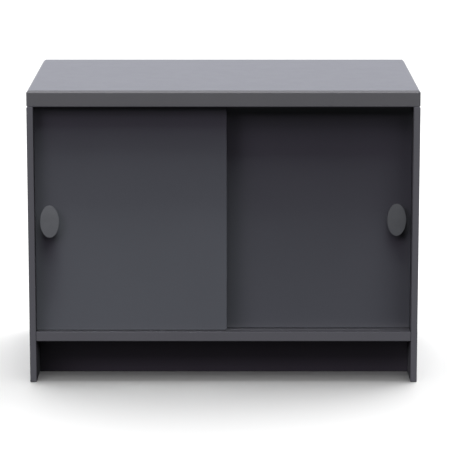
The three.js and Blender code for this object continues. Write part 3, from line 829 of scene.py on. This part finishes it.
def screw_rows(place, along, size, length, domed):
    """The recess, the head and a thread. The thread's radius is r (1 - share |2 (d / pitch - t / 2 pi mod 1)
    - 1|). A domed head of the height h stands h (1 - (r / head) ^ 2.6) ^ (1 / 2.6) proud of its board, and a
    flat one lies just under the surface."""
    radius, head, height = size
    reach, half_width = CROSS_REACH_SHARE * head, CROSS_WIDTH_SHARE * head
    turns = cross_turns(reach, half_width)
    cross = cross_radius(turns, reach, half_width)

    def face(r):
        """Where the face of the head lies, counted into the board."""
        dome = height * (1 - (r / head) ** DOME_POWER) ** (1 / DOME_POWER)
        return -SEAM - dome if domed else HEAD_ROOM + 0 * r

    recess_floor = -SEAM - DOME_RECESS_SHARE * height if domed else HEAD_ROOM + FLAT_RECESS_SHARE * height
    shank_start = -SEAM if domed else height + HEAD_ROOM
    rings = head * np.array(HEAD_RINGS)[:, None]
    steps = int((length - SCREW_TIP - shank_start) / THREAD_PITCH * THREAD_STEPS)
    depth = np.linspace(shank_start, length - SCREW_TIP, steps)[:, None]
    wave = np.abs(2 * ((depth / THREAD_PITCH - turns / (2 * np.pi)) % 1) - 1)
    thread = radius * (1 - THREAD_DEPTH_SHARE * wave)
    flat = np.ones_like(turns)
    radii = [RECESS_TAPER * cross, cross, *(rings * flat), *thread, TIP_SHARE * radius * flat]
    depths = [recess_floor * flat, face(cross), *(face(rings) * flat), *(depth * flat), length * flat]
    return placed(circles(np.stack(radii), turns), np.stack(depths), place, along)


print("one turn of thread to", round(THREAD_PITCH / MM, 1), "mm")


# %% Find where a fixing starts
def axis_from(node, hidden_end):
    """A fixing's direction: along the longest side of its box, towards its hidden end."""
    low, high = corners(node)
    along = np.zeros(3)
    along[np.argmax(high - low)] = hidden_end
    return along


def length_of(node, along):
    """How long a fixing's box is in its direction."""
    low, high = corners(node)
    return np.abs(along) @ (high - low)


def start_of(node, along, before=0.0):
    """The point where a fixing enters its board, from its box."""
    low, high = corners(node)
    return (low + high) / 2 - along * (length_of(node, along) / 2 - before)


for node in ("front_pull_screw_upper", "back_panel_screw_left_middle", "left_front_dowel"):
    print(node, "is", round(length_of(node, axis_from(node, 1)) / MM, 1), "mm long")

# %% Drive the screws in
# The radius of the shank, the radius of the head and the height of the head.
SCREW = (2 * MM, 4 * MM, 2.6 * MM)
SMALL_SCREW = (1.7 * MM, 3.4 * MM, 2 * MM)


def fit_screw(node, body, hidden_end, size, domed):
    """Turns one screw to the length of its node. A domed head stands before the surface, and a flat one
    starts just under it."""
    along = axis_from(node, hidden_end)
    before = SEAM + size[2] if domed else -HEAD_ROOM
    rows = screw_rows(start_of(node, along, before), along, size, length_of(node, along) - before, domed)
    skin(node, rows, body, STEEL_FINISH)


for node in list(frame["nodes"]):
    if "_pull_screw_" in node:
        fit_screw(node, f"{node.split('_')[0]}_door_set", -1, SCREW, domed=False)
    elif node.startswith("back_panel_screw_"):
        fit_screw(node, "carcass", -1, SMALL_SCREW, domed=False)
    elif node.endswith("_side_screw"):
        fit_screw(node, "carcass", 1 if node.startswith("right") else -1, SCREW, domed=True)
    elif node.endswith("_top_screw"):
        fit_screw(node, "carcass", 1, SCREW, domed=True)
print("screws fitted")

# %% [markdown]
# ## Brackets
#
# Four steel brackets hold the top on the sides. A real one is a strip with rounded corners that is bent
# through a right angle, and bending leaves it round inside and outside. Two boxes joined at a corner would
# have neither, so a round rectangle, the section of the strip, is carried along the strip's middle line and
# grows narrower towards both ends.

# %% Bend the brackets
BRACKET_THICK = 2 * MM
BRACKET_BEND = 3 * MM
BRACKET_CORNER = 4 * MM
BRACKET_EASE = 0.35 * MM
END_STEPS, BEND_STEPS = 6, 9


def bracket_rows(node, hand):
    """A strip bent through a right angle. Its middle line runs up the side, round an arc and along under the
    top. Near its ends at the distance e = c (1 - cos s) its half width is w - c + c sin s, which rounds the
    corners of the legs."""
    low, high = corners(node)
    leg = high[2] - low[2]
    half_width = (high[1] - low[1]) / 2
    half = BRACKET_THICK / 2
    end = np.linspace(0, np.pi / 2, END_STEPS)
    run = BRACKET_CORNER * (1 - np.cos(end))
    bend = np.linspace(0, np.pi / 2, BEND_STEPS)
    arc = BRACKET_BEND - half
    up_leg = np.stack([half + 0 * run, leg - run], axis=1)
    corner = np.stack([BRACKET_BEND - arc * np.cos(bend), BRACKET_BEND - arc * np.sin(bend)], axis=1)
    line = np.concatenate([up_leg, corner, up_leg[::-1, ::-1]])
    bend_normals = -np.stack([np.cos(bend), np.sin(bend)], axis=1)
    normals = np.concatenate([np.tile([-1, 0], (len(run), 1)), bend_normals, np.tile([0, -1], (len(run), 1))])
    widths = half_width - BRACKET_CORNER + BRACKET_CORNER * np.sin(end)
    widths = np.concatenate([widths, np.full(len(bend), half_width), widths[::-1]])
    section = np.stack([round_rectangle(width, half, BRACKET_EASE, steps=3) for width in widths])
    flat = line[:, None] + section[..., 1:] * normals[:, None]
    outer_x = high[0] if hand > 0 else low[0]
    return np.stack([outer_x - hand * flat[..., 0], (low[1] + high[1]) / 2 + section[..., 0],
                     high[2] - flat[..., 1]], axis=-1)


BRACKETS = [node for node in frame["nodes"] if node.endswith("_top_bracket")]
for node in BRACKETS:
    hand = 1 if node.startswith("right") else -1
    skin(node, bracket_rows(node, hand), "carcass", STEEL_FINISH)
print(len(BRACKETS), "brackets bent")

# %% [markdown]
# ## Shelf pins and dowels
#
# Each shelf lies on four steel pins. A pin is turned from bar: a round spigot in the side or the divider, a
# collar that stops it, and a head under the shelf, so it is a profile of radius and distance carried round
# a circle, as on a lathe. A beech dowel joins a side and the bottom panel at four places. It is pressed
# with flutes, which let the glue out, so its circle waves with the angle.

# %% Turn the shelf pins
# Pairs of radius and distance in mm, where 0 is the surface that the pin goes into.
PIN_PROFILE = ((2.8, -9), (3.3, -8.8), (3.5, -8.3), (3.5, -1.9), (3.2, -1.7), (3.2, -1.4), (3.5, -1.2),
               (3.5, -0.3), (3.3, -0.1), (2.5, -0.1))
PIN_TIP = 0.6 * MM
PIN_HEAD = 9 * MM
PIN_AROUND = 32


def pin_rows(node, along):
    """A steel pin with a collar: each pair (r, d) of its profile is a circle of the radius r at d."""
    spigot = length_of(node, along) - PIN_HEAD
    profile = np.array(PIN_PROFILE) * MM
    neck = profile[-1, 0]
    profile = np.concatenate([profile, [(neck, spigot - PIN_TIP), (neck - PIN_TIP, spigot)]])
    turns = np.linspace(0, 2 * np.pi, PIN_AROUND, endpoint=False)
    return placed(circles(profile[:, :1], turns), profile[:, 1:], start_of(node, along, PIN_HEAD), along)


PINS = [node for node in frame["nodes"] if "_shelf_pin_" in node]
print(len(PINS), "shelf pins to turn")

# %% Press the dowels
DOWEL_RADIUS = 4 * MM
DOWEL_CHAMFER = 1 * MM
DOWEL_FLUTES = 16
DOWEL_FLUTE_DEPTH = 0.3 * MM
POINTS_TO_A_FLUTE = 6


def dowel_rows(node, along):
    """A pressed dowel: r(t) = R - f (1 - cos(16 t)) / 2, with its two ends chamfered."""
    length = length_of(node, along)
    distance = np.array([0, DOWEL_CHAMFER, length / 2, length - DOWEL_CHAMFER, length])[:, None]
    chamfer = np.array([DOWEL_CHAMFER, 0, 0, 0, DOWEL_CHAMFER])[:, None]
    turns = np.linspace(0, 2 * np.pi, POINTS_TO_A_FLUTE * DOWEL_FLUTES, endpoint=False)
    radii = DOWEL_RADIUS - chamfer - DOWEL_FLUTE_DEPTH * (1 - np.cos(DOWEL_FLUTES * turns)) / 2
    return placed(circles(radii, turns), distance, start_of(node, along), along)


DOWELS = [node for node in frame["nodes"] if node.endswith("_dowel")]
print(len(DOWELS), "dowels to press")

# %% Push in the pins and the dowels
for node in sorted(PINS + DOWELS):
    if node in DOWELS:
        skin(node, dowel_rows(node, axis_from(node, 1)), "carcass", BEECH_FINISH)
    else:
        along = axis_from(node, -1 if node.startswith("left") == ("_outer_" in node) else 1)
        skin(node, pin_rows(node, along), "carcass", STEEL_FINISH)
print(len(PINS), "pins and", len(DOWELS), "dowels pushed in")

# %% [markdown]
# ## Sharing out the lamps
#
# The lamps' rails were hung before there was anything to light. Now that every piece is made, each is put
# into the collection of one rail. It could be done piece by piece as they are made, but here the whole
# choice stands in one place. A piece on a door goes to the doors' rail and everything else to the
# carcass's, and four pieces differ from that: the pulls stand proud of the doors and have light from
# further in front, and the top and the toe kick have a light of their own.

# %% Hand every piece to its lamps
DOOR_SETS = {"front_door_set", "rear_door_set"}
OWN_RAILS = {"top_panel": "top", "toe_kick": "toe_kick", "rear_pull_piece": "rear_pull",
             "front_pull_piece": "carcass"}


def rail_for(piece):
    """The rail of boxes that lights a piece: its own if it has one, and otherwise its body's."""
    return OWN_RAILS.get(piece.name, "door" if DOOR_SETS & set(body_of(piece)) else "carcass")


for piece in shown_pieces():
    lit_by[rail_for(piece)].objects.link(piece)

# %% [markdown]
# ## Sizes
#
# The finer pieces must not make the cabinet any bigger than its construction. So the box of the solids,
# which was kept from the start, is printed at the start, and the box of the looks is printed here.

# %% Write down the sizes and finish
LOOKS_LOW, LOOKS_HIGH = (np.array(corner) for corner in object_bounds())
print("looks", np.round((LOOKS_HIGH - LOOKS_LOW) / MM), "mm, width, depth and height")
